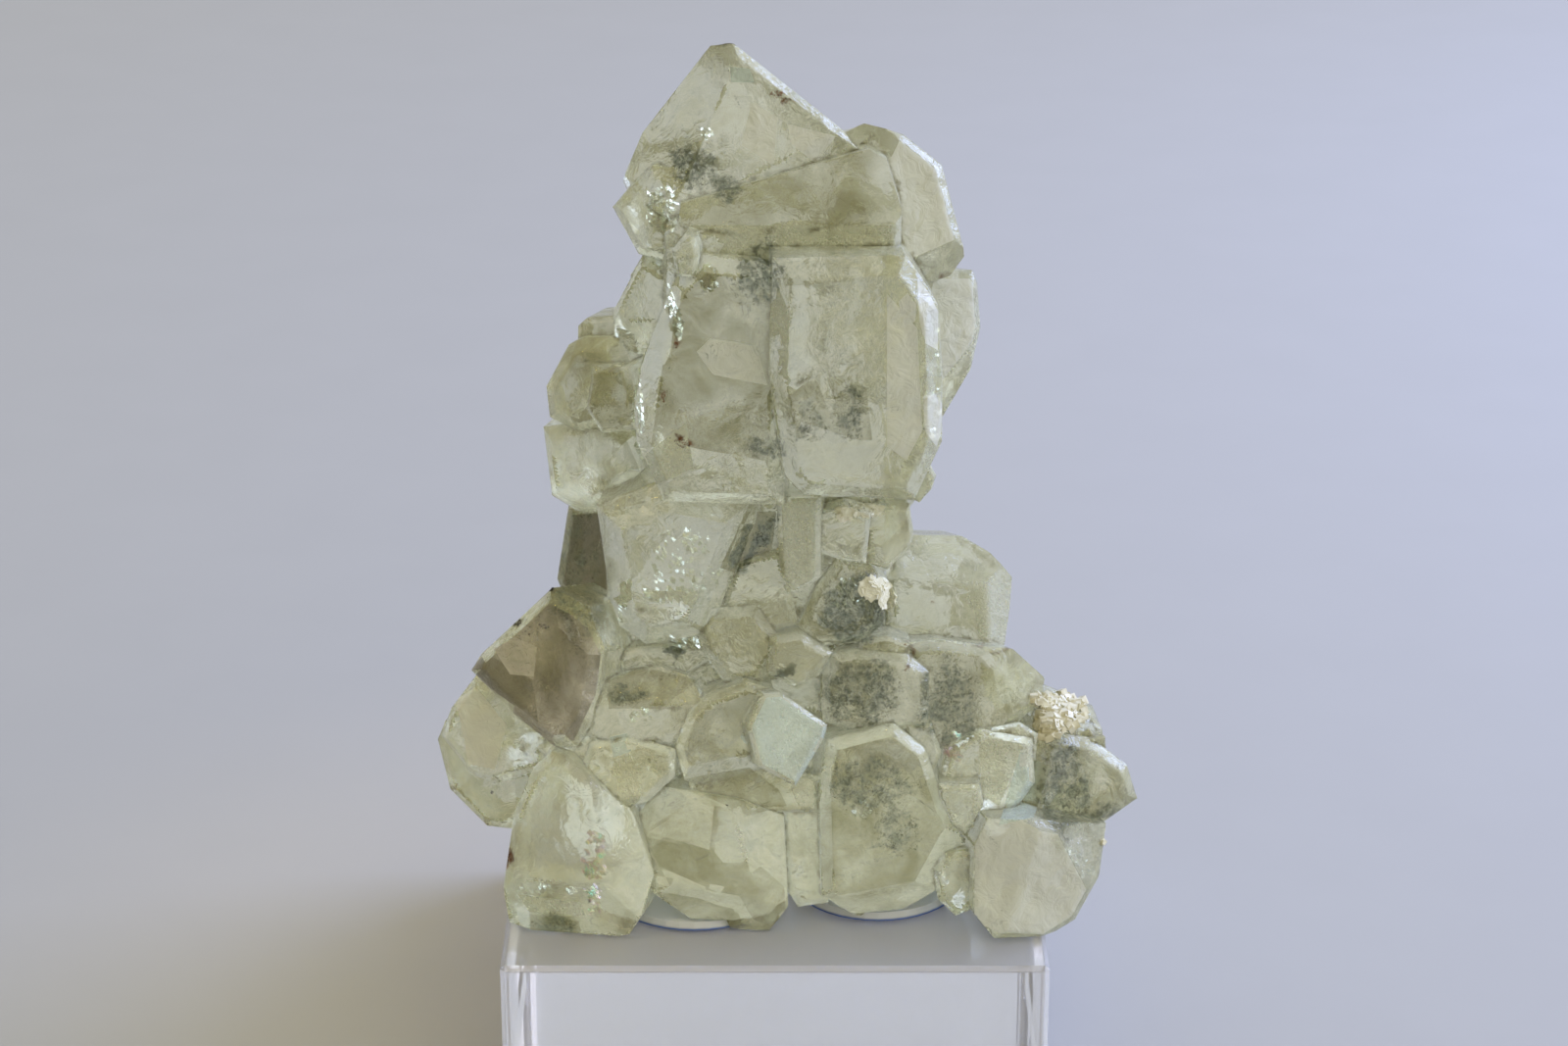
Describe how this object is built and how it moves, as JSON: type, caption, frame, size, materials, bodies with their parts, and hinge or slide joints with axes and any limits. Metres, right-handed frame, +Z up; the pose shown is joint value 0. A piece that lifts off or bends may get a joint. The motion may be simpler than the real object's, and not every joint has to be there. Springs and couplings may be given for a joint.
{
  "type": "fluorite specimen",
  "caption": "Tower-shaped cluster of intergrown pale green-grey fluorite crystals, bedded in clear gel on a clear acrylic display block.",
  "frame": {"origin": "centre of the display block's underside", "axes": "+Z up, -Y towards the front of the specimen, +X to its right as seen from the front"},
  "size_m": [0.0795, 0.061, 0.1149],
  "materials": {
    "fluorite": "clear to cloudy crystal with flat growth faces",
    "clear_acrylic": "clear cast acrylic with polished faces",
    "mounting_gel": "clear soft gel with a blue rim"
  },
  "bodies": {
    "root": {"crystal_cluster": "fluorite", "display_block": "clear_acrylic", "gel_pad_left": "mounting_gel", "gel_pad_right": "mounting_gel"}
  },
  "joints": []
}
